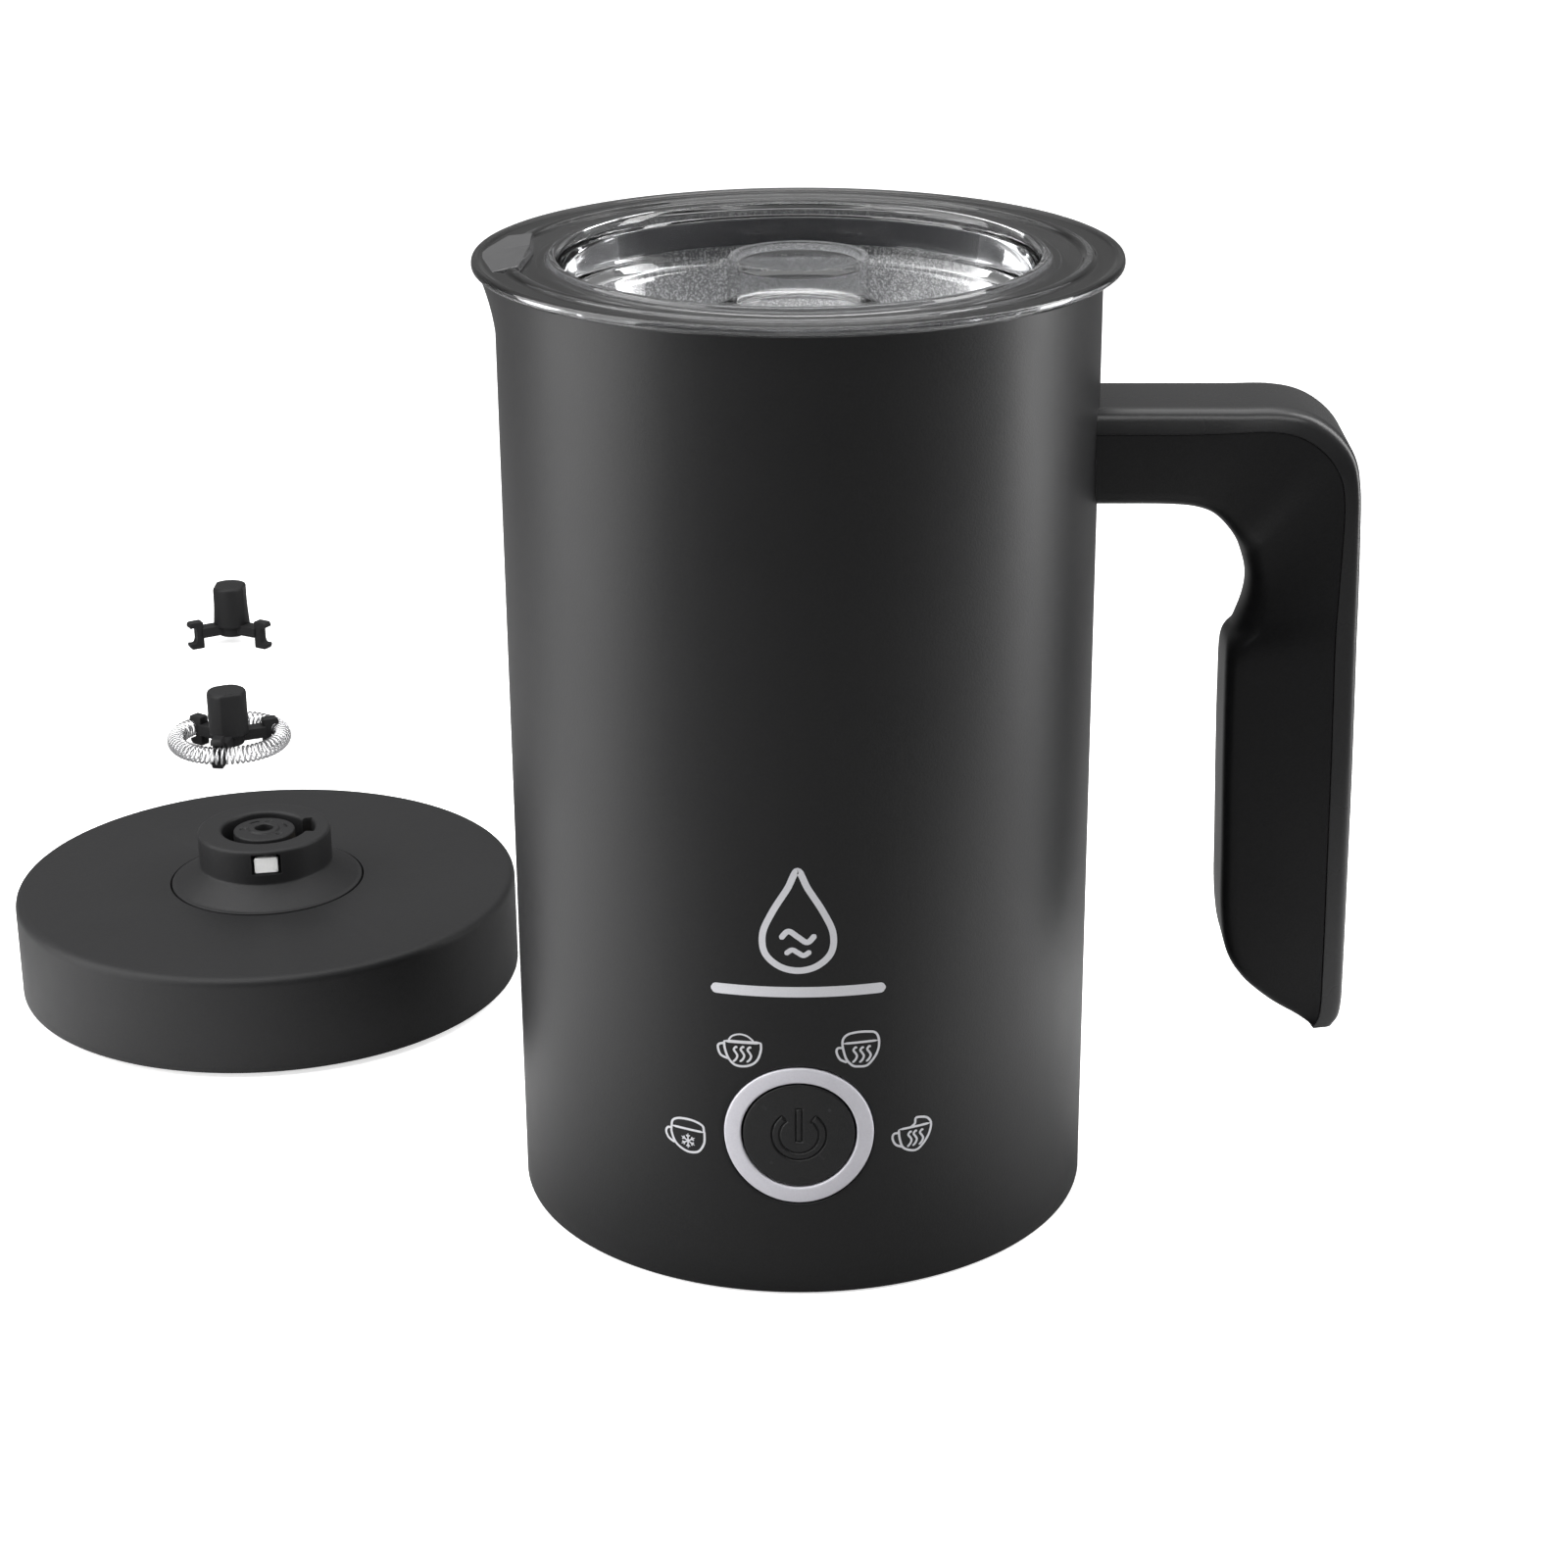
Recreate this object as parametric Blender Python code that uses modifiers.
# Electric milk frother: a double-walled jug with an open handle, a clear lift-off lid,
# a round cordless power base, and two loose whisks that seat on a post in the cup floor.
# Metres, +Z up. The origin is on the floor, under the middle of the whole layout.
import math

import bmesh
import bpy
from mathutils import Matrix, Vector

# ---------------------------------------------------------------- driving dimensions
GAP = 0.0003                 # clearance between pieces that touch

# Jug
JUG_RADIUS = 0.052           # outside of the outer shell
JUG_HEIGHT = 0.1713          # rim of the shell above the floor
SHELL_WALL = 0.0009
SHELL_LIFT = 0.0004          # bottom edge of the shell above the floor
CUP_RADIUS = 0.0468          # inside of the milk cup
CUP_WALL = 0.0008
CUP_FLOOR = 0.058            # inside floor of the milk cup above the jug's foot
CUP_CORNER = 0.006
RIM_DEPTH = 0.0022           # height of the flared rim that joins cup and shell
SPOUT_REACH = 0.0030
SPOUT_HEIGHT = 0.011
SPOUT_HALF_ANGLE = math.radians(30)

# Lid
LID_RADIUS = 0.05575
LID_EDGE = 0.0019            # thickness of the flange's outer edge
LID_WELL_RADIUS = 0.041
LID_WELL_DEPTH = 0.0100
LID_WALL = 0.0015
LID_KNOB_RADIUS = 0.0122
SEAL_HEIGHT = 0.0045

# Handle
HANDLE_WIDTH = 0.0235
HANDLE_TOP = 0.1482
HANDLE_ARM = 0.0178          # height of the arm that joins the jug
HANDLE_REACH = 0.0968        # outer face at the top corner, from the jug's axis
HANDLE_SPLAY = 0.0020        # how much further out the lower end stands
HANDLE_CORNER = 0.0145
HANDLE_GRIP_X = 0.0752       # inner face of the grip, from the jug's axis
HANDLE_TIP = 0.0321          # lowest point above the floor
HANDLE_COVER = 0.0036        # thickness of the outer cover
NOTCH_DEPTH = 0.0033         # finger notch under the arm
HANDLE_POCKET_WALL = 0.0022

# Front button
BUTTON_Z = 0.0312
BUTTON_RING_RADIUS = 0.0129
BUTTON_RADIUS = 0.0097
BUTTON_TRAVEL = 0.0015

# Power base
BASE_RADIUS = 0.052
BASE_HEIGHT = 0.0216
BASE_WALL = 0.0022
BASE_EDGE = 0.0022
FOOT_HEIGHT = 0.0010
COLLAR_RADIUS = 0.0198       # cone flange of the connector
TOWER_RADIUS = 0.0138
TOWER_HEIGHT = 0.0114        # connector tower above the base's top face
CONE_HEIGHT = 0.0040
GROOVE_RADIUS = 0.00875
GROOVE_DEPTH = 0.0090
HUB_RADIUS = 0.0064
PIN_HOLE_RADIUS = 0.0019
GLAND_RADIUS = 0.0045

# Whisks
WHISK_HUB_RADIUS = 0.0049
WHISK_HEIGHT = 0.0165
WHISK_CLIP_HEIGHT = 0.0076
WHISK_REACH = 0.0126         # outer end of an arm from the whisk's axis
WHISK_CLIP_WIDTH = 0.0026
COIL_RING_RADIUS = 0.0131    # centre line of the coil ring
COIL_RADIUS = 0.0020         # helix of the wire round that line
COIL_WIRE = 0.0003           # wire radius
COIL_TURNS = 44
POST_RADIUS = 0.0022
POST_HEIGHT = 0.0090

# Layout on the floor, measured from the jug's axis
BASE_PLACE = (-0.114, 0.084)
BASE_TURN = math.radians(10.5)
FROTH_PLACE = (-0.146, 0.215)
FROTH_TURN = math.radians(-65)
STIR_PLACE = (-0.160, 0.300)
STIR_TURN = math.radians(1)

SIDES = 48                   # facets round a large turned piece
MEDIUM_SIDES = 32
SMALL_SIDES = 24
FACE_SIDES = 96
TINY_SIDES = 12

# ---------------------------------------------------------------- worked-out sizes
SHELL_INSIDE = JUG_RADIUS - SHELL_WALL
CUP_OUTSIDE = CUP_RADIUS + CUP_WALL
CUP_UNDERSIDE = CUP_FLOOR - CUP_WALL
RIM_RADIUS = SHELL_INSIDE - GAP
LID_UNDERSIDE = JUG_HEIGHT + GAP
LID_TOP = LID_UNDERSIDE + LID_EDGE
LID_FLOOR = LID_TOP - LID_WELL_DEPTH
LID_SKIRT_RADIUS = LID_WELL_RADIUS + LID_WALL
TOWER_TOP = BASE_HEIGHT + TOWER_HEIGHT



def clip_corners(place, turn):
    # The floor positions of a whisk's six outermost corners.
    corners = []
    for arm in (90, 210, 330):
        angle = turn + math.radians(arm)
        for side in (-WHISK_CLIP_WIDTH / 2, WHISK_CLIP_WIDTH / 2):
            corners.append((place[0] + WHISK_REACH * math.cos(angle) - side * math.sin(angle),
                            place[1] + WHISK_REACH * math.sin(angle) + side * math.cos(angle)))
    return corners


STIR_CORNERS = clip_corners(STIR_PLACE, STIR_TURN)
LEFT_END = min([BASE_PLACE[0] - BASE_RADIUS] + [x for x, y in STIR_CORNERS])
RIGHT_END = HANDLE_REACH + HANDLE_SPLAY
FRONT_END = -LID_RADIUS
BACK_END = max(y for x, y in STIR_CORNERS)
JUG_PLACE = Vector((-(LEFT_END + RIGHT_END) / 2, -(FRONT_END + BACK_END) / 2, 0))

for old in list(bpy.data.objects):
    bpy.data.objects.remove(old, do_unlink=True)

frother = bpy.data.collections.new("milk_frother")
cutters = bpy.data.collections.new("cutters")
bpy.context.scene.collection.children.link(frother)
bpy.context.scene.collection.children.link(cutters)


# ---------------------------------------------------------------- materials
def finish(name, colour, roughness, metallic=0.0, alpha=1.0):
    material = bpy.data.materials.new(name)
    material.use_nodes = True
    shader = material.node_tree.nodes["Principled BSDF"]
    shader.inputs["Base Color"].default_value = (*colour, 1.0)
    shader.inputs["Roughness"].default_value = roughness
    shader.inputs["Metallic"].default_value = metallic
    shader.inputs["Alpha"].default_value = alpha
    material.diffuse_color = (*colour, alpha)
    return material


coated_steel = finish("coated_steel", (0.045, 0.045, 0.048), 0.42, 0.3)
cup_coating = finish("cup_coating", (0.07, 0.07, 0.075), 0.35, 0.4)
black_plastic = finish("black_plastic", (0.035, 0.035, 0.038), 0.45)
clear_plastic = finish("clear_plastic", (0.30, 0.31, 0.33), 0.05, 0.0, 0.35)
silicone = finish("silicone", (0.55, 0.56, 0.58), 0.55, 0.0, 0.8)
light_plastic = finish("light_plastic", (0.52, 0.51, 0.55), 0.35)
white_plastic = finish("white_plastic", (0.85, 0.85, 0.85), 0.4)
rubber = finish("rubber", (0.02, 0.02, 0.02), 0.8)
bright_steel = finish("bright_steel", (0.65, 0.65, 0.67), 0.25, 1.0)
brass = finish("brass", (0.70, 0.52, 0.22), 0.3, 1.0)
aluminium = finish("aluminium", (0.70, 0.71, 0.72), 0.4, 1.0)
board_green = finish("board_green", (0.03, 0.16, 0.07), 0.5)
nickel = finish("nickel", (0.55, 0.54, 0.52), 0.2, 1.0)


# ---------------------------------------------------------------- making pieces
def axis_empty(name, place, parent=None, turn=0.0):
    empty = bpy.data.objects.new(name, None)
    empty.location = place
    empty.rotation_euler = (0, 0, turn)
    empty.parent = parent
    frother.objects.link(empty)
    return empty


def add_piece(name, mesh, parent, material, place=(0, 0, 0)):
    piece = bpy.data.objects.new(name, mesh)
    piece.location = place
    piece.parent = parent
    if material is None:
        piece.hide_render = True
        piece.display_type = "WIRE"
        cutters.objects.link(piece)
    else:
        mesh.materials.append(material)
        frother.objects.link(piece)
    return piece


def smooth(mesh, angle=35):
    mesh.shade_smooth()
    mesh.set_sharp_from_angle(angle=math.radians(angle))


def mesh_from(shape, name):
    mesh = bpy.data.meshes.new(name)
    shape.to_mesh(mesh)
    shape.free()
    return mesh


def turned(name, profile, parent, material, sides=SIDES, place=(0, 0, 0)):
    # The profile's (radius, height) points run down the outer side. Ends that are both on
    # the axis close a solid of revolution; otherwise the points are a closed ring section.
    mesh = bpy.data.meshes.new(name)
    points = [(radius, 0, height) for radius, height in profile]
    edges = [(i, i + 1) for i in range(len(points) - 1)]
    if profile[0][0] > 0 or profile[-1][0] > 0:
        edges.append((len(points) - 1, 0))
    mesh.from_pydata(points, edges, [])
    piece = add_piece(name, mesh, parent, material, place)
    screw = piece.modifiers.new("turn", "SCREW")
    screw.axis = "Z"
    screw.steps = sides
    screw.render_steps = sides
    screw.use_merge_vertices = True
    screw.merge_threshold = 0.00001
    screw.use_smooth_shade = False
    return piece


def frozen(piece):
    # The piece as a plain mesh, its modifiers applied, with its caps and seams welded.
    bpy.context.view_layer.update()
    graph = bpy.context.evaluated_depsgraph_get()
    mesh = bpy.data.meshes.new_from_object(piece.evaluated_get(graph))
    shape = bmesh.new()
    shape.from_mesh(mesh)
    bmesh.ops.remove_doubles(shape, verts=shape.verts, dist=0.00001)
    shape.to_mesh(mesh)
    shape.free()
    solid = bpy.data.objects.new(piece.name, mesh)
    solid.parent = piece.parent
    solid.location = piece.location
    solid.rotation_euler = piece.rotation_euler
    solid.hide_render = piece.hide_render
    solid.display_type = piece.display_type
    for collection in piece.users_collection:
        collection.objects.link(solid)
    name = piece.name
    bpy.data.objects.remove(piece, do_unlink=True)
    solid.name = name
    return solid


def cylinder(name, radius, low, high, parent, material, place=(0, 0), axis="Z", sides=SMALL_SIDES,
             top_radius=None):
    # A cylinder or cone from low to high along its axis; place is the axis's other two coordinates.
    shape = bmesh.new()
    bmesh.ops.create_cone(shape, cap_ends=True, segments=sides, radius1=radius,
                          radius2=radius if top_radius is None else top_radius, depth=high - low)
    middle = (low + high) / 2
    if axis == "Z":
        matrix = Matrix.Translation((place[0], place[1], middle))
    elif axis == "Y":
        matrix = Matrix.Translation((place[0], middle, place[1])) @ Matrix.Rotation(math.radians(-90), 4, "X")
    else:
        matrix = Matrix.Translation((middle, place[0], place[1])) @ Matrix.Rotation(math.radians(90), 4, "Y")
    bmesh.ops.transform(shape, matrix=matrix, verts=shape.verts)
    return add_piece(name, mesh_from(shape, name), parent, material)


def block(name, low, high, parent, material, turn=0.0):
    # A box between two corners, turned about the parent's Z axis.
    shape = bmesh.new()
    bmesh.ops.create_cube(shape, size=1.0)
    size = [h - l for l, h in zip(low, high)]
    middle = [(h + l) / 2 for l, h in zip(low, high)]
    matrix = (Matrix.Rotation(turn, 4, "Z") @ Matrix.Translation(middle)
              @ Matrix.Diagonal((*size, 1.0)))
    bmesh.ops.transform(shape, matrix=matrix, verts=shape.verts)
    return add_piece(name, mesh_from(shape, name), parent, material)


def cut(piece, tool, operation="DIFFERENCE"):
    boolean = piece.modifiers.new(operation.lower(), "BOOLEAN")
    boolean.operation = operation
    boolean.solver = "EXACT"
    boolean.object = tool
    return piece


def soften(piece, width, segments=2, angle=40):
    bevel = piece.modifiers.new("edges", "BEVEL")
    bevel.width = width
    bevel.segments = segments
    bevel.limit_method = "ANGLE"
    bevel.angle_limit = math.radians(angle)
    return piece


def arc(centre, radius, start, end, steps):
    # Points on a circle from one angle to another, in degrees, both ends included.
    points = []
    for i in range(steps + 1):
        angle = math.radians(start + (end - start) * i / steps)
        points.append((centre[0] + radius * math.cos(angle), centre[1] + radius * math.sin(angle)))
    return points


def polar(radius, angle):
    return (radius * math.cos(angle), radius * math.sin(angle))


def thirds(start=0.0):
    return [start + math.radians(120 * i) for i in range(3)]


def smooth_step(value):
    value = min(max(value, 0.0), 1.0)
    return value * value * (3 - 2 * value)


def screw_piece(name, spot, head_low, head_radius, head_height, shaft_radius, shaft_end, parent):
    # A pan-head screw standing on its head (shaft_end above it) or hanging from it.
    head_high = head_low + head_height
    if shaft_end > head_high:
        profile = [(0, shaft_end), (shaft_radius, shaft_end - shaft_radius / 2), (shaft_radius, head_high),
                   (head_radius, head_high), (head_radius, head_low + head_height / 3),
                   (head_radius * 0.7, head_low), (0, head_low)]
    else:
        profile = [(0, head_high), (head_radius * 0.7, head_high), (head_radius, head_high - head_height / 3),
                   (head_radius, head_low), (shaft_radius, head_low),
                   (shaft_radius, shaft_end + shaft_radius / 2), (0, shaft_end)]
    return turned(name, profile, parent, bright_steel, TINY_SIDES, (spot[0], spot[1], 0))


def stepped_hole(name, spot, shaft_radius, head_radius, step, high, parent):
    # Cutter for a screw hole with a counterbore that opens downwards.
    low = -0.001
    profile = [(0, high), (shaft_radius, high), (shaft_radius, step), (head_radius, step), (head_radius, low), (0, low)]
    return turned(name, profile, parent, None, TINY_SIDES, (spot[0], spot[1], 0))


# ---------------------------------------------------------------- power base
def make_base():
    base = axis_empty("base_axis", (JUG_PLACE.x + BASE_PLACE[0], JUG_PLACE.y + BASE_PLACE[1], 0),
                      turn=BASE_TURN)
    plate_low = FOOT_HEIGHT
    plate_high = plate_low + 0.0030
    ceiling = BASE_HEIGHT - BASE_WALL
    inside = BASE_RADIUS - BASE_WALL
    screw_ring = BASE_RADIUS * 0.72
    boss_radius = 0.0038
    screw_radius = 0.0014
    screw_hole = screw_radius + GAP
    screw_head = 0.0029
    foot_ring = BASE_RADIUS * 0.80
    foot_radius = 0.0050

    # Top cover: a cap with a round shoulder, open below, and a hole for the connector.
    shoulder = arc((BASE_RADIUS - BASE_EDGE, BASE_HEIGHT - BASE_EDGE), BASE_EDGE, 90, 0, 4)
    hole = COLLAR_RADIUS + GAP
    cover = turned("base_cover", [(hole, BASE_HEIGHT), *shoulder,
                                  (BASE_RADIUS, plate_low + 0.0004), (BASE_RADIUS - 0.0006, plate_low - 0.0002),
                                  (inside, plate_low - 0.0002), (inside, ceiling), (hole, ceiling)],
                   base, black_plastic)
    for number, angle in enumerate(thirds(math.radians(30))):
        spot = polar(screw_ring, angle)
        cut(cover, cylinder(f"cover_boss_{number}", boss_radius, plate_high + GAP, ceiling + 0.0005, base, None,
                            spot, sides=TINY_SIDES), "UNION")
        cut(cover, cylinder(f"boss_hole_{number}", screw_hole, 0, plate_high + 0.010, base, None,
                            spot, sides=TINY_SIDES))
    gland_z = plate_high + GLAND_RADIUS + 0.0020
    cut(cover, cylinder("gland_hole", GLAND_RADIUS + GAP, inside - 0.004, BASE_RADIUS + 0.004, base, None,
                        (0, gland_z), "Y", TINY_SIDES))
    # Bottom plate with counterbored screw holes and shallow seats for the feet.
    plate = turned("base_plate", [(0, plate_high), (inside - GAP, plate_high), (inside - GAP, plate_low),
                                  (0, plate_low)], base, black_plastic)
    for number, angle in enumerate(thirds(math.radians(30))):
        spot = polar(screw_ring, angle)
        cut(plate, stepped_hole(f"plate_hole_{number}", spot, screw_hole, screw_head + GAP, plate_low + 0.0016,
                                plate_high + 0.001, base))
        screw_piece(f"base_screw_{number + 1}", spot, plate_low + 0.0001, screw_head, 0.0012,
                    screw_radius, plate_high + 0.008, base)
    for number, angle in enumerate(thirds(math.radians(90))):
        spot = polar(foot_ring, angle)
        cut(plate, cylinder(f"foot_seat_{number}", foot_radius + GAP, 0, plate_low + 0.0008, base, None,
                            spot, sides=TINY_SIDES))
        foot_top = plate_low + 0.0008 - GAP
        turned(f"base_foot_{number + 1}", [(0, foot_top), (foot_radius, foot_top), (foot_radius, 0.0003),
                                           (foot_radius - 0.0003, 0), (0, 0)],
               base, rubber, TINY_SIDES, (spot[0], spot[1], 0))

    # Connector collar: a cone flange that rises to a round tower with a ring groove in its top.
    flange_high = ceiling - GAP
    flange_low = flange_high - 0.0020
    flange_radius = COLLAR_RADIUS + 0.0030
    tower_round = 0.0010
    lip = 0.0005
    collar = turned("connector_collar",
                    [(GROOVE_RADIUS, TOWER_TOP - lip), (GROOVE_RADIUS + lip, TOWER_TOP),
                     *arc((TOWER_RADIUS - tower_round, TOWER_TOP - tower_round), tower_round, 90, 0, 3),
                     (TOWER_RADIUS, BASE_HEIGHT + CONE_HEIGHT), (COLLAR_RADIUS - 0.0006, BASE_HEIGHT + 0.0002),
                     (COLLAR_RADIUS, BASE_HEIGHT), (COLLAR_RADIUS, flange_high), (flange_radius, flange_high),
                     (flange_radius, flange_low), (GROOVE_RADIUS, flange_low)],
                    base, black_plastic, MEDIUM_SIDES)
    tab_half = 0.0026
    tab_top = TOWER_TOP - 0.0016
    tab_low = tab_top - 0.0034
    cut(collar, block("tab_window", (-tab_half - GAP, -TOWER_RADIUS - 0.002, tab_low - GAP),
                      (tab_half + GAP, -TOWER_RADIUS + 0.0022, tab_top + GAP), base, None))
    tab = block("snap_tab", (-tab_half, -TOWER_RADIUS + 0.0003, tab_low), (tab_half, -TOWER_RADIUS + 0.0018, tab_top),
                base, white_plastic)
    soften(tab, 0.0004)
    # Contact slot: the groove widens on one side, where a sprung contact stands.
    slot_out = GROOVE_RADIUS + 0.0018
    slot_low = TOWER_TOP - GROOVE_DEPTH - 0.0010
    cut(collar, block("contact_slot", (GROOVE_RADIUS - 0.002, -0.0034, slot_low),
                      (slot_out, 0.0034, TOWER_TOP + 0.001), base, None))
    contact_out = slot_out - GAP
    contact = block("line_contact", (contact_out - 0.0006, -0.0024, slot_low + GAP),
                    (contact_out, 0.0024, TOWER_TOP - 0.0025), base, brass)
    soften(contact, 0.0002, 1)
    # Connector core: the hub inside the groove, with a hole for the jug's centre pin.
    groove_floor = TOWER_TOP - GROOVE_DEPTH
    hub_top = TOWER_TOP - 0.0004
    ring_high = hub_top + 0.0004
    core = turned("connector_core",
                  [(PIN_HOLE_RADIUS, ring_high - 0.0002), (PIN_HOLE_RADIUS + 0.0003, ring_high),
                   (PIN_HOLE_RADIUS + 0.0010, ring_high - 0.0001), (PIN_HOLE_RADIUS + 0.0014, hub_top),
                   (HUB_RADIUS - 0.0006, hub_top), (HUB_RADIUS, hub_top - 0.0006),
                   (HUB_RADIUS, groove_floor), (GROOVE_RADIUS - GAP, groove_floor),
                   (GROOVE_RADIUS - GAP, flange_low), (PIN_HOLE_RADIUS, flange_low)],
                  base, black_plastic, MEDIUM_SIDES)
    pocket_half = 0.0015
    pocket_low = groove_floor + 0.0010
    pocket_high = pocket_low + 0.0050
    cut(core, block("core_pocket", (-HUB_RADIUS - 0.001, -pocket_half - GAP, pocket_low - GAP),
                    (-HUB_RADIUS + 0.0014, pocket_half + GAP, pocket_high + GAP), base, None))
    block("neutral_contact", (-HUB_RADIUS + 0.0003, -pocket_half, pocket_low),
          (-HUB_RADIUS + 0.0011, pocket_half, pocket_high), base, brass)
    dimple_ring = HUB_RADIUS * 0.68
    for number, angle in enumerate((-45, 75, 170)):
        spot = polar(dimple_ring, math.radians(angle))
        cut(core, cylinder(f"core_dimple_{number}", 0.0007, hub_top - 0.0004, hub_top + 0.001, base, None,
                           spot, sides=TINY_SIDES))
    earth_radius = PIN_HOLE_RADIUS - GAP
    turned("earth_contact", [(0, groove_floor), (earth_radius, groove_floor - 0.0004),
                             (earth_radius, flange_low + 0.0003), (0, flange_low + 0.0003)],
           base, brass, TINY_SIDES)
    # Cord inlet: a flanged bush through the cover's wall, bored for the cord.
    gland_in = inside - 0.0025
    gland_bore = GLAND_RADIUS - 0.0013
    gland = cylinder("cord_gland", GLAND_RADIUS, gland_in, BASE_RADIUS + 0.0010, base, rubber,
                     (0, gland_z), "Y", TINY_SIDES)
    cut(gland, cylinder("gland_flange", GLAND_RADIUS + 0.0012, BASE_RADIUS + GAP, BASE_RADIUS + 0.0014, base, None,
                        (0, gland_z), "Y", TINY_SIDES), "UNION")
    cut(gland, cylinder("gland_bore", gland_bore, gland_in - 0.002, BASE_RADIUS + 0.004, base, None,
                        (0, gland_z), "Y", TINY_SIDES))


# ---------------------------------------------------------------- jug: shell and cup
def flare_spout(piece):
    # Pulls the wall out over the top of the jug's left side, so that it pours.
    for vertex in piece.data.vertices:
        x, y, z = vertex.co
        radius = math.hypot(x, y)
        if radius < CUP_RADIUS * 0.9:
            continue
        side = 1 - abs(math.atan2(y, -x)) / SPOUT_HALF_ANGLE
        rise = (z - JUG_HEIGHT + SPOUT_HEIGHT) / SPOUT_HEIGHT
        shift = SPOUT_REACH * smooth_step(side) * max(rise, 0) ** 1.5
        vertex.co.x += shift * x / radius
        vertex.co.y += shift * y / radius
    return piece


def rim_steps(radius, from_top, count=4):
    # Points down a straight wall where the spout bends it.
    return [(radius, JUG_HEIGHT - from_top - (SPOUT_HEIGHT - from_top) * i / count) for i in range(count + 1)]


def make_shell(jug):
    inner = rim_steps(SHELL_INSIDE, 0.0)
    outer = rim_steps(JUG_RADIUS, 0.0004)
    profile = [(SHELL_INSIDE + 0.0003, JUG_HEIGHT), (JUG_RADIUS - 0.0003, JUG_HEIGHT), *outer,
               (JUG_RADIUS, SHELL_LIFT + 0.0005), (JUG_RADIUS - 0.0004, SHELL_LIFT),
               (SHELL_INSIDE, SHELL_LIFT), *reversed(inner)]
    shell = flare_spout(frozen(turned("outer_shell", profile, jug, coated_steel)))
    cut(shell, cylinder("shell_button_hole", BUTTON_RING_RADIUS + GAP, -JUG_RADIUS - 0.003,
                        -JUG_RADIUS * 0.85, jug, None, (0, BUTTON_Z), "Y", MEDIUM_SIDES))
    smooth(shell.data)
    return shell


def make_cup(jug):
    corner_in = arc((CUP_RADIUS - CUP_CORNER, CUP_FLOOR + CUP_CORNER), CUP_CORNER, -90, 0, 4)
    corner_out = arc((CUP_RADIUS - CUP_CORNER, CUP_FLOOR + CUP_CORNER), CUP_CORNER + CUP_WALL, 0, -90, 4)
    rim_low = JUG_HEIGHT - RIM_DEPTH
    wall_in = rim_steps(CUP_RADIUS, RIM_DEPTH, 3)
    wall_out = rim_steps(CUP_OUTSIDE, RIM_DEPTH, 3)
    profile = [(0, CUP_FLOOR), *corner_in, *reversed(wall_in),
               (CUP_RADIUS + 0.0008, rim_low + 0.0014), (CUP_RADIUS + 0.0024, JUG_HEIGHT),
               (RIM_RADIUS, JUG_HEIGHT), (RIM_RADIUS, JUG_HEIGHT - 0.0008),
               (CUP_OUTSIDE + 0.0018, JUG_HEIGHT - 0.0008), (CUP_OUTSIDE + 0.0004, rim_low + 0.0004),
               *wall_out, *corner_out, (0, CUP_UNDERSIDE)]
    cup = flare_spout(frozen(turned("inner_cup", profile, jug, cup_coating)))
    smooth(cup.data)
    foot = CUP_FLOOR + GAP
    turned("whisk_post", [(0, foot + POST_HEIGHT), (POST_RADIUS - 0.0006, foot + POST_HEIGHT),
                          (POST_RADIUS, foot + POST_HEIGHT - 0.0006), (POST_RADIUS, foot + 0.0016),
                          (POST_RADIUS + 0.0028, foot + 0.0010), (POST_RADIUS + 0.0030, foot), (0, foot)],
           jug, bright_steel, SMALL_SIDES)


# ---------------------------------------------------------------- jug: handle
def outer_line(offset):
    # The handle's outer contour in X and Z, moved inwards by an offset.
    corner = (HANDLE_REACH - HANDLE_CORNER, HANDLE_TOP - HANDLE_CORNER)
    round_end = arc(corner, HANDLE_CORNER - offset, 90, 0, 6)
    tip_x = HANDLE_REACH + HANDLE_SPLAY - offset
    return [(JUG_RADIUS - 0.004, HANDLE_TOP - offset), *round_end, (tip_x, HANDLE_TIP + 0.006)]


def inner_line():
    # Under the arm, round the finger notch, down the grip and out to the tip.
    arm_low = HANDLE_TOP - HANDLE_ARM
    notch_x = HANDLE_GRIP_X + NOTCH_DEPTH
    return [(HANDLE_GRIP_X + 0.0080, HANDLE_TIP + 0.0045), (HANDLE_GRIP_X + 0.0028, HANDLE_TIP + 0.0124),
            (HANDLE_GRIP_X + 0.0008, HANDLE_TIP + 0.0210), (HANDLE_GRIP_X, HANDLE_TIP + 0.048),
            (HANDLE_GRIP_X, arm_low - 0.0256), (HANDLE_GRIP_X + 0.0012, arm_low - 0.0220),
            (notch_x - 0.0004, arm_low - 0.0160), (notch_x, arm_low - 0.0125), (notch_x - 0.0010, arm_low - 0.0070),
            (notch_x - 0.0045, arm_low - 0.0025), (notch_x - 0.0085, arm_low - 0.0004),
            (notch_x - 0.0120, arm_low), (JUG_RADIUS - 0.004, arm_low)]


def side_plate(name, outline, width, parent, material):
    # A flat outline in X and Z, given a thickness along Y.
    curve = bpy.data.curves.new(name, "CURVE")
    curve.dimensions = "2D"
    curve.fill_mode = "BOTH"
    curve.extrude = width / 2
    spline = curve.splines.new("POLY")
    spline.points.add(len(outline) - 1)
    for point, (x, z) in zip(spline.points, outline):
        point.co = (x, z, 0, 1)
    spline.use_cyclic_u = True
    piece = bpy.data.objects.new(name, curve)
    piece.rotation_euler = (math.radians(90), 0, 0)
    piece.parent = parent
    (cutters if material is None else frother).objects.link(piece)
    piece.hide_render = material is None
    piece = frozen(piece)
    piece.data.transform(Matrix.Rotation(math.radians(90), 4, "X"))
    piece.rotation_euler = (0, 0, 0)
    if material is None:
        piece.display_type = "WIRE"
    else:
        piece.data.materials.append(material)
    return piece


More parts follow.
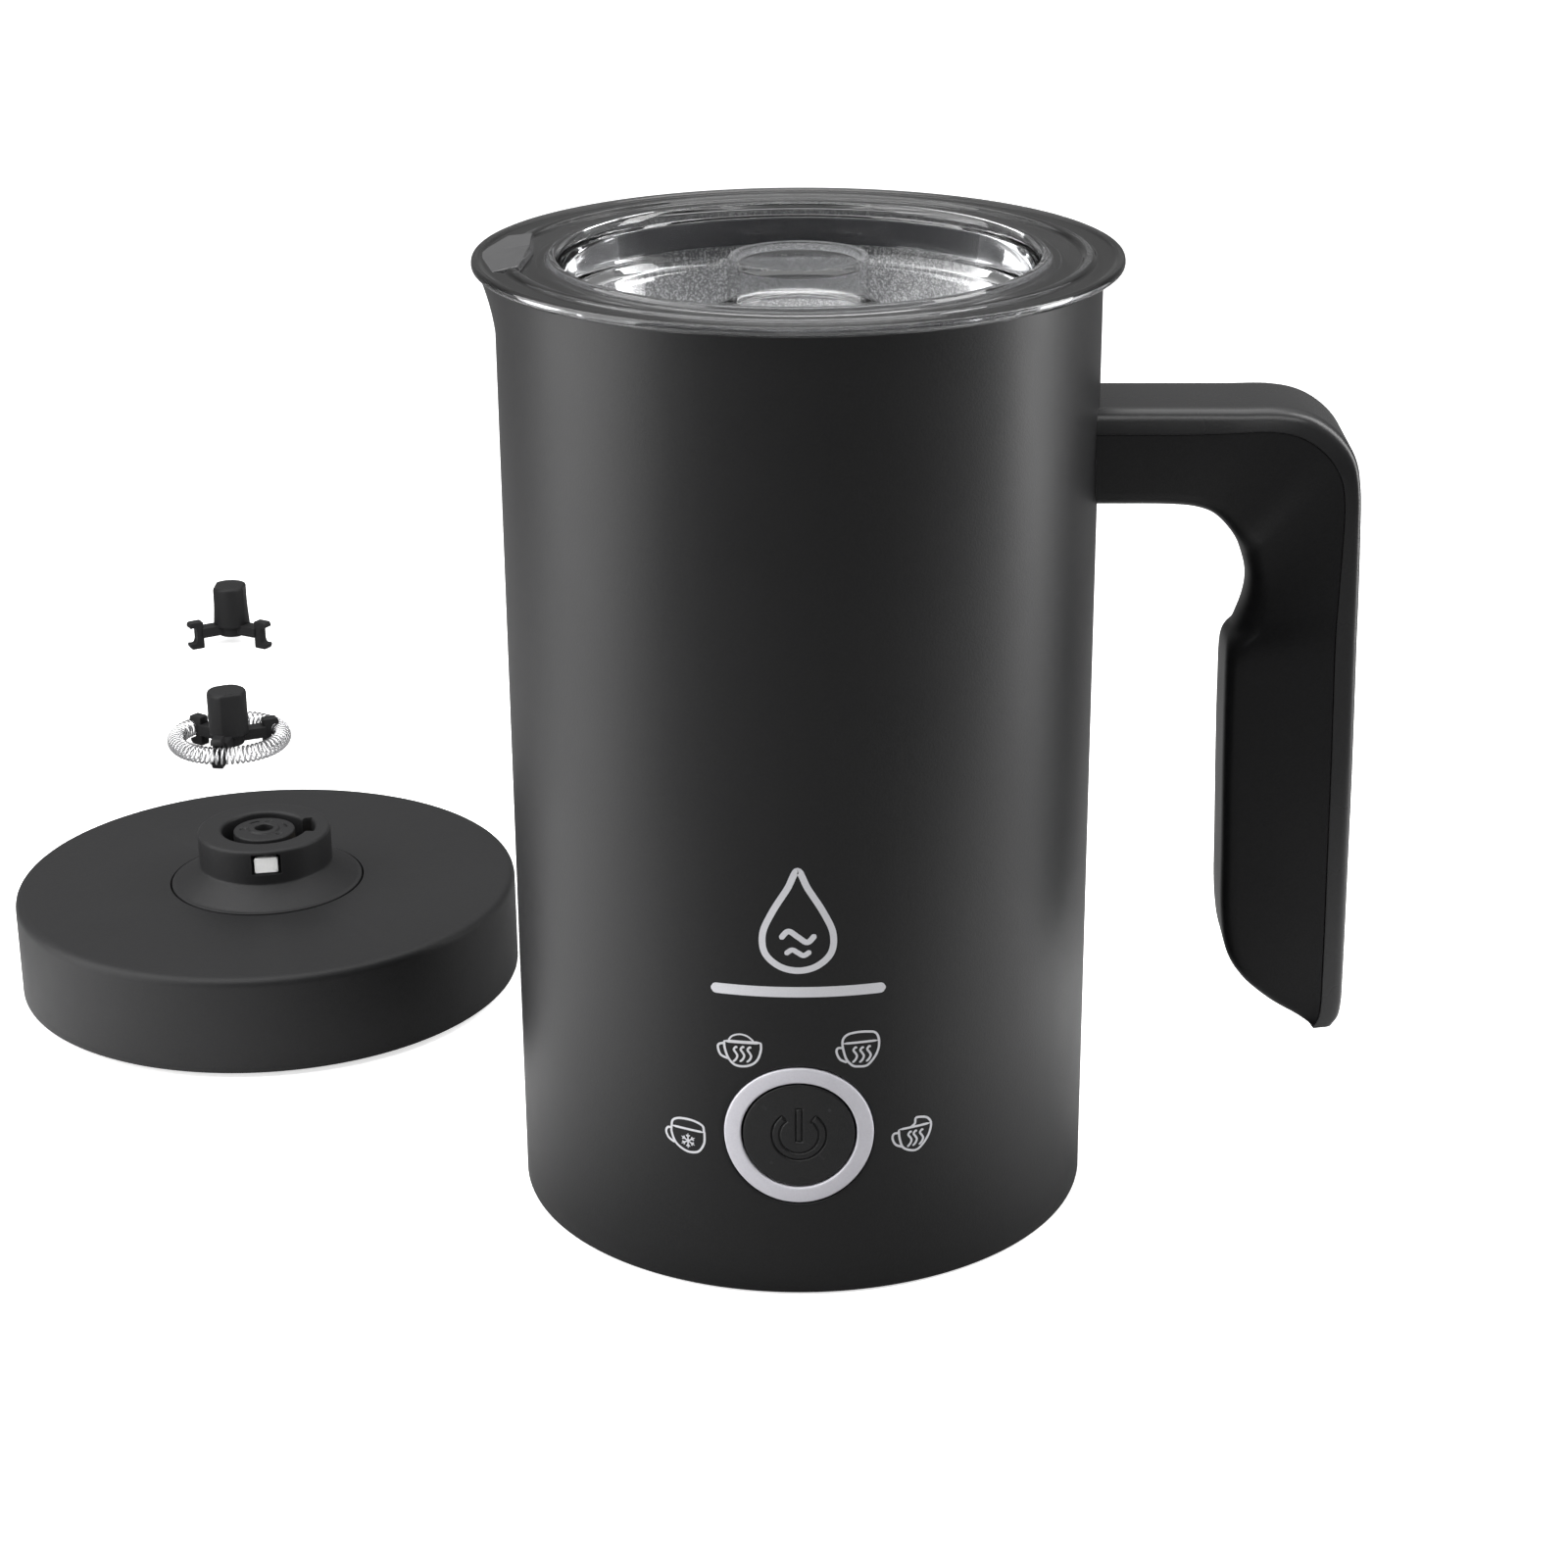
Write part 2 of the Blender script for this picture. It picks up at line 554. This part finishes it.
def make_handle(jug):
    shell_clear = cylinder("handle_shell_clearance", JUG_RADIUS + GAP, 0, JUG_HEIGHT, jug, None, sides=SIDES)
    tip = HANDLE_COVER * 0.85
    tip_round = arc((HANDLE_REACH + HANDLE_SPLAY - tip, HANDLE_TIP + tip), tip, 0, -90, 3)
    cover_line = outer_line(0)[:-1] + tip_round
    seam = outer_line(HANDLE_COVER)
    cover = side_plate("handle_cover", cover_line + [(seam[-1][0], HANDLE_TIP)] + list(reversed(seam)),
                       HANDLE_WIDTH, jug, black_plastic)
    cut(cover, shell_clear)
    soften(cover, 0.0012)
    body_out = outer_line(HANDLE_COVER + GAP)
    body_out[-1] = (body_out[-1][0], HANDLE_TIP + 0.0006)
    body_width = HANDLE_WIDTH - 0.003
    body = side_plate("handle_body", body_out + inner_line(), body_width, jug, black_plastic)
    cut(body, shell_clear)
    soften(body, 0.0012)
    # Hollow, open towards the cover.
    wall = HANDLE_POCKET_WALL
    arm_low = HANDLE_TOP - HANDLE_ARM
    pocket = [(JUG_RADIUS + 0.008, HANDLE_TOP), (HANDLE_REACH + 0.004, HANDLE_TOP),
              (HANDLE_REACH + 0.004, HANDLE_TIP + 0.012), (HANDLE_GRIP_X + 0.0062, HANDLE_TIP + 0.014),
              (HANDLE_GRIP_X + wall + 0.0012, HANDLE_TIP + 0.024), (HANDLE_GRIP_X + wall, arm_low - 0.0256),
              (HANDLE_GRIP_X + NOTCH_DEPTH + wall, arm_low - 0.018),
              (HANDLE_GRIP_X + NOTCH_DEPTH + wall, arm_low - 0.008),
              (HANDLE_GRIP_X - 0.0010, arm_low + wall), (JUG_RADIUS + 0.008, arm_low + wall)]
    cut(body, side_plate("handle_pocket", pocket, body_width - 2 * wall, jug, None))
    # A curved plate inside the shell takes two screws that hold the arm.
    plate_out = SHELL_INSIDE - GAP
    plate_in = plate_out - 0.0012
    plate_low = arm_low + 0.0006
    plate_high = HANDLE_TOP - HANDLE_COVER - 0.0006
    plate = turned("handle_plate", [(plate_in, plate_high), (plate_out, plate_high), (plate_out, plate_low),
                                    (plate_in, plate_low)], jug, bright_steel)
    cut(plate, block("handle_plate_trim", (plate_in * 0.9, -0.009, plate_low - 0.001),
                     (plate_out + 0.002, 0.009, plate_high + 0.001), jug, None), "INTERSECT")
    shaft = 0.0014
    head_high = plate_in - GAP
    head_low = head_high - 0.0007
    for number, share in enumerate((0.28, 0.72)):
        z = plate_low + (plate_high - plate_low) * share
        hole = cylinder(f"handle_screw_hole_{number}", shaft + GAP, head_high - 0.001, JUG_RADIUS + 0.0095,
                        jug, None, (0, z), "X", TINY_SIDES)
        for piece in (plate, body, bpy.data.objects["outer_shell"]):
            cut(piece, hole)
        screw = cylinder(f"handle_screw_{number + 1}", shaft, head_high - 0.0003, JUG_RADIUS + 0.0070,
                         jug, bright_steel, (0, z), "X", TINY_SIDES)
        cut(screw, cylinder(f"handle_screw_head_{number}", 0.0026, head_low, head_high, jug, None,
                            (0, z), "X", TINY_SIDES), "UNION")


# ---------------------------------------------------------------- jug: underside
def make_underside(jug):
    cover_low = 0.0010
    cover_high = cover_low + 0.0024
    cover_radius = SHELL_INSIDE - 0.0005
    mouth = COLLAR_RADIUS + 0.0011
    housing_radius = mouth + 0.0015
    foot_in = cover_radius - 0.0075
    cover = turned("bottom_cover",
                   [(housing_radius + GAP, cover_high), (cover_radius - 0.0020, cover_high),
                    (cover_radius - 0.0020, cover_high + 0.0056), (cover_radius, cover_high + 0.0056),
                    (cover_radius, 0.0004), (cover_radius - 0.0004, 0), (foot_in, 0), (foot_in - 0.0006, cover_low),
                    (housing_radius + GAP, cover_low)], jug, black_plastic)
    # Socket: a mouth that fits over the base's cone and tower, with a ring contact and a pin.
    socket_flange = housing_radius + 0.0075
    flange_low = cover_high + GAP
    flange_high = flange_low + 0.0020
    cavity = TOWER_RADIUS + 0.0006
    cavity_top = TOWER_HEIGHT + 0.0012
    housing_top = cavity_top + 0.0022
    housing = turned("socket_housing",
                     [(0, housing_top), (cavity + 0.0022, housing_top), (cavity + 0.0022, flange_high + 0.0004),
                      (socket_flange, flange_high), (socket_flange, flange_low), (housing_radius, flange_low),
                      (housing_radius, cover_low), (mouth, cover_low), (cavity, cover_low + CONE_HEIGHT + 0.0006),
                      (cavity, cavity_top), (0, cavity_top)], jug, black_plastic, MEDIUM_SIDES)
    ring_out = GROOVE_RADIUS - 0.00045
    ring_in = HUB_RADIUS + 0.00050
    ring_top = cavity_top - GAP
    ring_low = TOWER_HEIGHT - GROOVE_DEPTH + 0.0016
    turned("socket_ring", [(ring_in, ring_top), (ring_out, ring_top), (ring_out, ring_low + 0.0003),
                           (ring_out - 0.0003, ring_low), (ring_in + 0.0003, ring_low), (ring_in, ring_low + 0.0003)],
           jug, brass, SMALL_SIDES)
    pin = PIN_HOLE_RADIUS - 0.0006
    turned("socket_pin", [(0, ring_top), (pin, ring_top), (pin, ring_low + 0.0004), (pin - 0.0006, ring_low - 0.0006),
                          (0, ring_low - 0.0006)], jug, nickel, TINY_SIDES)
    head = 0.0026
    shaft = 0.0012
    for number, angle in enumerate(thirds(math.radians(90))):
        spot = polar(housing_radius + 0.0040, angle)
        hole = stepped_hole(f"socket_screw_hole_{number}", spot, shaft + GAP, head + GAP, cover_low + 0.0012,
                            housing_top, jug)
        cut(cover, hole)
        cut(housing, hole)
        screw_piece(f"socket_screw_{number + 1}", spot, cover_low + 0.0001, head, 0.0008, shaft,
                    flange_high + 0.0012, jug)


# ---------------------------------------------------------------- jug: heater, motor and boards
HEATER_THICK = 0.0025
HEATER_TOP = CUP_UNDERSIDE - GAP
HEATER_LOW = HEATER_TOP - HEATER_THICK
HEATER_RADIUS = CUP_RADIUS * 0.81
CARRIER_RADIUS = 0.0110
CARRIER_HEIGHT = 0.0040
CARRIER_TOP = CUP_UNDERSIDE - 0.0008
CARRIER_LOW = CARRIER_TOP - CARRIER_HEIGHT
MOUNT_DROP = 0.0069          # top of the motor mount below the heater plate
MOUNT_HIGH = HEATER_LOW - MOUNT_DROP
MOUNT_LOW = MOUNT_HIGH - 0.0020
MOTOR_RADIUS = 0.0120
MOTOR_LENGTH = 0.0210
MOTOR_HIGH = MOUNT_LOW - GAP
SHAFT_RADIUS = 0.0010
ELEMENT_RADIUS = 0.0030
BOARD_THICK = 0.0016
FRAME_FRONT = -(JUG_RADIUS - 0.0046)     # the button frame's front face, along Y
FRAME_BACK = -(JUG_RADIUS - 0.0130)
BOARD_BACK = FRAME_BACK + GAP + BOARD_THICK
POST_FOOT_RADIUS = 0.0030                # posts that hang the motor mount from the heater
MOUNT_RADIUS = -BOARD_BACK - 0.0006
POST_RING = MOUNT_RADIUS - POST_FOOT_RADIUS
ELEMENT_RING = POST_RING - POST_FOOT_RADIUS - ELEMENT_RADIUS - 0.0008


def make_heater(jug):
    turned("heater_plate", [(CARRIER_RADIUS + 0.0025, HEATER_TOP), (HEATER_RADIUS, HEATER_TOP),
                            (HEATER_RADIUS, HEATER_LOW), (CARRIER_RADIUS + 0.0025, HEATER_LOW)],
           jug, aluminium)
    # Tubular element: an open ring under the plate, its two ends turned down as terminals.
    middle = HEATER_LOW - GAP - ELEMENT_RADIUS
    curve = bpy.data.curves.new("heating_element", "CURVE")
    curve.dimensions = "3D"
    curve.bevel_depth = ELEMENT_RADIUS
    curve.bevel_resolution = 1
    curve.use_fill_caps = True
    angles = [math.radians(112 + (428 - 112) * i / 28) for i in range(29)]
    path = [(ELEMENT_RING * math.cos(a), ELEMENT_RING * math.sin(a), middle) for a in angles]
    spline = curve.splines.new("POLY")
    spline.points.add(len(path) - 1)
    for point, place in zip(spline.points, path):
        point.co = (*place, 1)
    element = bpy.data.objects.new("heating_element", curve)
    element.parent = jug
    frother.objects.link(element)
    element = frozen(element)
    element.data.materials.append(bright_steel)
    smooth(element.data)
    fuse_z = HEATER_LOW - GAP - 0.0025
    cylinder("thermal_fuse", 0.0025, -0.006, 0.006, jug, nickel, (0.0195, fuse_z), "X", TINY_SIDES)
    cylinder("temperature_sensor", 0.0028, HEATER_LOW - 0.0040, HEATER_LOW - GAP, jug, nickel, (0, -0.0195),
             sides=TINY_SIDES)


def make_motor(jug):
    shaft = 0.0012
    mount = turned("motor_mount", [(0.0046, MOUNT_HIGH), (MOUNT_RADIUS, MOUNT_HIGH), (MOUNT_RADIUS, MOUNT_LOW),
                                   (0.0046, MOUNT_LOW)], jug, bright_steel, MEDIUM_SIDES)
    for number, angle in enumerate(thirds(math.radians(90))):
        spot = polar(POST_RING, angle)
        cut(mount, cylinder(f"mount_post_{number}", POST_FOOT_RADIUS - 0.0001, MOUNT_LOW + 0.0005, HEATER_LOW - GAP,
                            jug, None, spot, sides=TINY_SIDES), "UNION")
        cut(mount, cylinder(f"mount_hole_{number}", shaft + GAP, MOUNT_LOW - 0.001, HEATER_LOW - 0.0016,
                            jug, None, spot, sides=TINY_SIDES))
        screw_piece(f"mount_screw_{number + 1}", spot, MOUNT_LOW - GAP - 0.0013, 0.0024, 0.0013, shaft,
                    MOUNT_HIGH + 0.0030, jug)
    bore = SHAFT_RADIUS + 0.0004
    motor_low = MOTOR_HIGH - MOTOR_LENGTH
    can = turned("motor_can", [(bore, MOUNT_HIGH - 0.0005), (0.0042, MOUNT_HIGH - 0.0005), (0.0042, MOTOR_HIGH),
                               (MOTOR_RADIUS - 0.0008, MOTOR_HIGH), (MOTOR_RADIUS, MOTOR_HIGH - 0.0008),
                               (MOTOR_RADIUS, motor_low), (bore, motor_low)], jug, bright_steel, SMALL_SIDES)
    cap_high = motor_low - GAP
    turned("motor_end_cap", [(0, cap_high), (MOTOR_RADIUS, cap_high), (MOTOR_RADIUS, cap_high - 0.0018),
                             (MOTOR_RADIUS * 0.6, cap_high - 0.0018), (MOTOR_RADIUS * 0.6, cap_high - 0.0030),
                             (0, cap_high - 0.0030)], jug, white_plastic, SMALL_SIDES)
    for number, side in enumerate((-1, 1)):
        spot = (side * 0.0080, 0)
        for piece in (mount, can):
            cut(piece, cylinder(f"{piece.name}_screw_hole_{number}", 0.0013, MOTOR_HIGH - 0.0050,
                                MOUNT_HIGH + 0.001, jug, None, spot, sides=TINY_SIDES))
        screw_piece(f"motor_screw_{number + 1}", spot, MOUNT_HIGH + GAP, 0.0020, 0.0012, 0.0010,
                    MOTOR_HIGH - 0.0040, jug)


def make_rotor(jug):
    rotor = axis_empty("rotor_axis", (0, 0, CARRIER_LOW), jug)
    bore = SHAFT_RADIUS + GAP
    magnet = 0.0026
    magnet_ring = 0.0064
    pocket_depth = 0.0023
    carrier = turned("magnet_carrier", [(bore, CARRIER_HEIGHT), (CARRIER_RADIUS, CARRIER_HEIGHT),
                                        (CARRIER_RADIUS, 0), (bore, 0)], rotor, white_plastic, SMALL_SIDES)
    for number, side in enumerate((-1, 1)):
        spot = (side * magnet_ring, 0)
        cut(carrier, cylinder(f"magnet_pocket_{number}", magnet + GAP, CARRIER_HEIGHT - pocket_depth,
                              CARRIER_HEIGHT + 0.001, rotor, None, spot, sides=TINY_SIDES))
        cylinder(f"drive_magnet_{number + 1}", magnet, CARRIER_HEIGHT - pocket_depth + GAP,
                 CARRIER_HEIGHT - GAP, rotor, nickel, spot, sides=TINY_SIDES)
    shaft_low = MOTOR_HIGH - MOTOR_LENGTH * 0.8 - CARRIER_LOW
    cylinder("motor_shaft", SHAFT_RADIUS, shaft_low, CARRIER_HEIGHT - 0.0004, rotor, bright_steel,
             sides=TINY_SIDES)


def make_front(jug):
    # The ring and the button follow the shell's round face.
    face = JUG_RADIUS + 0.0002
    ring_back = -(JUG_RADIUS - 0.0063)
    ledge = ring_back + GAP
    face_tool = cylinder("front_face", face, 0, BUTTON_Z * 2, jug, None, sides=FACE_SIDES)
    ring = cylinder("button_ring", BUTTON_RING_RADIUS, -JUG_RADIUS - 0.002, ring_back, jug, light_plastic,
                    (0, BUTTON_Z), "Y", MEDIUM_SIDES)
    cut(ring, cylinder("button_ring_hole", BUTTON_RADIUS + GAP, -JUG_RADIUS - 0.004, ring_back + 0.002, jug, None,
                       (0, BUTTON_Z), "Y", MEDIUM_SIDES))
    cut(ring, face_tool, "INTERSECT")
    flange = BUTTON_RADIUS + 0.0015
    frame_half = BUTTON_RING_RADIUS + 0.0035
    frame = block("button_frame", (-frame_half, FRAME_FRONT, BUTTON_Z - frame_half),
                  (frame_half, FRAME_BACK, BUTTON_Z + frame_half), jug, black_plastic)
    cut(frame, cylinder("frame_ring_seat", BUTTON_RING_RADIUS + GAP, FRAME_FRONT - 0.002, ledge, jug, None,
                        (0, BUTTON_Z), "Y", MEDIUM_SIDES))
    cut(frame, cylinder("frame_bore", flange + 0.0004, FRAME_FRONT - 0.002, FRAME_BACK + 0.002, jug, None,
                        (0, BUTTON_Z), "Y", MEDIUM_SIDES))
    board_front = FRAME_BACK + GAP
    board_half = frame_half - 0.0015
    block("switch_board", (-board_half, board_front, BUTTON_Z - board_half),
          (board_half, BOARD_BACK, BUTTON_Z + board_half), jug, board_green)
    switch_front = board_front - GAP - 0.0025
    switch = block("tact_switch", (-0.003, switch_front, BUTTON_Z - 0.003),
                   (0.003, board_front - GAP, BUTTON_Z + 0.003), jug, black_plastic)
    actuator = switch_front - 0.0008
    cut(switch, cylinder("switch_actuator", 0.0017, actuator, switch_front + 0.0005, jug, None,
                         (0, BUTTON_Z), "Y", TINY_SIDES), "UNION")
    # Button cap with a stop flange behind the ring and a stem over the switch.
    button_axis = axis_empty("button_axis", (0, 0, BUTTON_Z), jug)
    flange_front = ring_back + GAP
    flange_back = flange_front + 0.0010
    cap = cylinder("power_button", BUTTON_RADIUS, -JUG_RADIUS - 0.002, flange_front + 0.0005, button_axis,
                   black_plastic, (0, 0), "Y", MEDIUM_SIDES)
    cut(cap, cylinder("button_flange", flange, flange_front, flange_back, button_axis, None, (0, 0), "Y", MEDIUM_SIDES),
        "UNION")
    stem_back = actuator - BUTTON_TRAVEL - GAP
    cut(cap, cylinder("button_stem", 0.0022, flange_back - 0.0005, stem_back, button_axis, None,
                      (0, 0), "Y", TINY_SIDES), "UNION")
    cut(cap, cylinder("button_face", JUG_RADIUS, -BUTTON_Z / 2, BUTTON_Z / 2, button_axis, None, sides=FACE_SIDES),
        "INTERSECT")
    # Mains board stands at the back, with its relay and capacitor.
    board_y = CUP_RADIUS * 0.77
    power = block("power_board", (-0.020, board_y, 0.010), (0.020, board_y + BOARD_THICK, 0.040), jug, board_green)
    cut(power, block("relay", (-0.016, board_y - 0.010, 0.016), (-0.001, board_y + 0.0005, 0.034), jug, None),
        "UNION")
    cut(power, cylinder("capacitor", 0.0045, board_y - 0.012, board_y + 0.0005, jug, None, (0.010, 0.026), "Y",
                        TINY_SIDES), "UNION")


# ---------------------------------------------------------------- lid
def make_lid(jug):
    lid_axis = axis_empty("lid_axis", (0, 0, LID_UNDERSIDE), jug)
    top = LID_TOP - LID_UNDERSIDE
    floor = LID_FLOOR - LID_UNDERSIDE
    under = floor - LID_WALL
    seal_out = CUP_RADIUS - 0.0004
    seat_high = -0.0012
    seat_low = seat_high - SEAL_HEIGHT - 2 * GAP
    knob_top = top - 0.0008
    knob_in = LID_KNOB_RADIUS - LID_WALL
    ring_in = LID_WELL_RADIUS + 0.0008
    ring_out = LID_RADIUS - 0.0060
    skirt = LID_SKIRT_RADIUS
    profile = [(0, knob_top - 0.0004), (LID_KNOB_RADIUS - 0.0018, knob_top - 0.0004),
               (LID_KNOB_RADIUS - 0.0008, knob_top), (LID_KNOB_RADIUS, knob_top - 0.0008),
               (LID_KNOB_RADIUS, floor + 0.0010), (LID_KNOB_RADIUS + 0.0010, floor),
               (LID_WELL_RADIUS - 0.0030, floor), (LID_WELL_RADIUS - 0.0018, floor + 0.0012),
               (LID_WELL_RADIUS, top - 0.0010), (ring_in + 0.0010, top),
               (ring_in + 0.0022, top), (ring_in + 0.0032, top - 0.0010), (ring_in + 0.0052, top - 0.0010),
               (ring_out - 0.0014, top - 0.0002), (ring_out - 0.0004, top), (ring_out + 0.0010, top - 0.0004),
               (LID_RADIUS - 0.0012, top - 0.0002), (LID_RADIUS, top - 0.0008),
               (LID_RADIUS, 0.0003), (LID_RADIUS - 0.0004, 0), (skirt + 0.0022, 0), (skirt + 0.0022, seat_high),
               (skirt, seat_high), (skirt, seat_low), (skirt + 0.0022, seat_low), (skirt + 0.0022, seat_low - 0.0010),
               (skirt - 0.0010, under + 0.0010), (skirt - 0.0030, under), (knob_in + 0.0012, under),
               (knob_in, under + 0.0012), (knob_in, knob_top - LID_WALL - 0.0004), (0, knob_top - LID_WALL - 0.0004)]
    lid = turned("lid", profile, lid_axis, clear_plastic)
    # Faceted pouring mark over the spout: a wide wedge, low at its tip, with its crest towards the well.
    shape = bmesh.new()
    crest_x = -(LID_RADIUS * 0.823)
    tip_x = -(LID_RADIUS - 0.0015)
    wing_x = (crest_x + tip_x) / 2
    half = LID_RADIUS * 0.245
    low = top - 0.0014
    for point in [(crest_x + 0.0006, 0, low), (crest_x, -half, low), (crest_x, half, low), (tip_x, 0, low),
                  (wing_x, -half * 1.05, low), (wing_x, half * 1.05, low), (tip_x, 0, top - 0.0006),
                  (crest_x, -half, top - 0.0002), (crest_x, half, top - 0.0002),
                  (wing_x, -half * 1.05, top - 0.0006), (wing_x, half * 1.05, top - 0.0006), (crest_x, 0, top + 0.0010)]:
        shape.verts.new(point)
    bmesh.ops.convex_hull(shape, input=shape.verts)
    cut(lid, add_piece("pouring_mark", mesh_from(shape, "pouring_mark"), lid_axis, None), "UNION")
    high = seat_high - GAP
    low = seat_low + GAP
    seal_in = skirt + GAP
    middle = (high + low) / 2
    turned("lid_seal", [(seal_in, high), (seal_in + 0.0016, high), (seal_in + 0.0022, high - 0.0008),
                        (seal_out, high - 0.0012), (seal_in + 0.0024, middle), (seal_out, low + 0.0012),
                        (seal_in + 0.0022, low + 0.0004), (seal_in, low)],
           lid_axis, silicone)


# ---------------------------------------------------------------- whisks
def make_whisk(prefix, place, turn):
    whisk = axis_empty(f"{prefix}_axis", (JUG_PLACE.x + place[0], JUG_PLACE.y + place[1], 0), turn=turn)
    arm_low = WHISK_CLIP_HEIGHT / 2 - 0.0008
    arm_high = arm_low + 0.0028
    collar_low = arm_low - 0.0006
    shoulder = arm_high - 0.0006
    socket = POST_RADIUS + GAP
    magnet_high = WHISK_HEIGHT - 0.0015
    hub = turned(f"{prefix}_hub",
                 [(0, WHISK_HEIGHT), (WHISK_HUB_RADIUS - 0.0010, WHISK_HEIGHT),
                  (WHISK_HUB_RADIUS - 0.0003, WHISK_HEIGHT - 0.0004), (WHISK_HUB_RADIUS, WHISK_HEIGHT - 0.0012),
                  (WHISK_HUB_RADIUS, shoulder), (WHISK_HUB_RADIUS - 0.0012, shoulder - 0.0003),
                  (WHISK_HUB_RADIUS - 0.0012, collar_low), (socket, collar_low), (socket, magnet_high),
                  (0, magnet_high)], whisk, black_plastic, SMALL_SIDES)
    flat = WHISK_HUB_RADIUS - 0.0008
    for number, side in enumerate((-1, 1)):
        low = (min(side * flat, side * 0.008), -0.008, shoulder + 0.0004)
        high = (max(side * flat, side * 0.008), 0.008, WHISK_HEIGHT + 0.001)
        cut(hub, block(f"{prefix}_flat_{number}", low, high, whisk, None))
    clip_in = COIL_RING_RADIUS - COIL_RADIUS - COIL_WIRE - 0.0022
    notch_in = COIL_RING_RADIUS - COIL_RADIUS - COIL_WIRE - 0.0004
    notch_half = COIL_RADIUS + COIL_WIRE + 0.00025
    middle = WHISK_CLIP_HEIGHT / 2
    clip_half = WHISK_CLIP_WIDTH / 2
    for number, angle in enumerate(thirds(math.radians(90))):
        cut(hub, block(f"{prefix}_arm_{number}", (WHISK_HUB_RADIUS - 0.0018, -0.0019, arm_low),
                       (clip_in + 0.0005, 0.0019, arm_high), whisk, None, angle), "UNION")
        clip = block(f"{prefix}_clip_{number}", (clip_in, -clip_half, 0),
                     (WHISK_REACH, clip_half, WHISK_CLIP_HEIGHT),
                     whisk, None, angle)
        cut(hub, clip, "UNION")
        cut(hub, block(f"{prefix}_notch_{number}", (notch_in, -0.003, middle - notch_half),
                       (WHISK_REACH + 0.002, 0.003, middle + notch_half), whisk, None, angle))
    turned(f"{prefix}_magnet", [(0, magnet_high - GAP), (POST_RADIUS, magnet_high - GAP),
                                (POST_RADIUS, magnet_high - 0.0020), (0, magnet_high - 0.0020)],
           whisk, nickel, TINY_SIDES)
    return whisk


def make_coil(whisk):
    # A fine wire helix bent round into a ring.
    per_turn = 6
    count = COIL_TURNS * per_turn
    curve = bpy.data.curves.new("froth_coil", "CURVE")
    curve.dimensions = "3D"
    curve.bevel_depth = COIL_WIRE
    curve.bevel_resolution = 0
    spline = curve.splines.new("POLY")
    spline.points.add(count - 1)
    for i, point in enumerate(spline.points):
        along = 2 * math.pi * i / count
        round_wire = 2 * math.pi * i / per_turn
        radius = COIL_RING_RADIUS + COIL_RADIUS * math.cos(round_wire)
        point.co = (radius * math.cos(along), radius * math.sin(along),
                    WHISK_CLIP_HEIGHT / 2 + COIL_RADIUS * math.sin(round_wire), 1)
    spline.use_cyclic_u = True
    coil = bpy.data.objects.new("froth_coil", curve)
    coil.parent = whisk
    frother.objects.link(coil)
    coil = frozen(coil)
    coil.data.materials.append(bright_steel)
    smooth(coil.data, 60)


jug_axis = axis_empty("jug_axis", JUG_PLACE)
make_base()
make_shell(jug_axis)
make_cup(jug_axis)
make_handle(jug_axis)
make_underside(jug_axis)
make_heater(jug_axis)
make_motor(jug_axis)
make_rotor(jug_axis)
make_front(jug_axis)
make_lid(jug_axis)
make_coil(make_whisk("froth", FROTH_PLACE, FROTH_TURN))
make_whisk("stir", STIR_PLACE, STIR_TURN)
print("milk frother:", len([o for o in frother.objects if o.type == "MESH"]), "pieces")
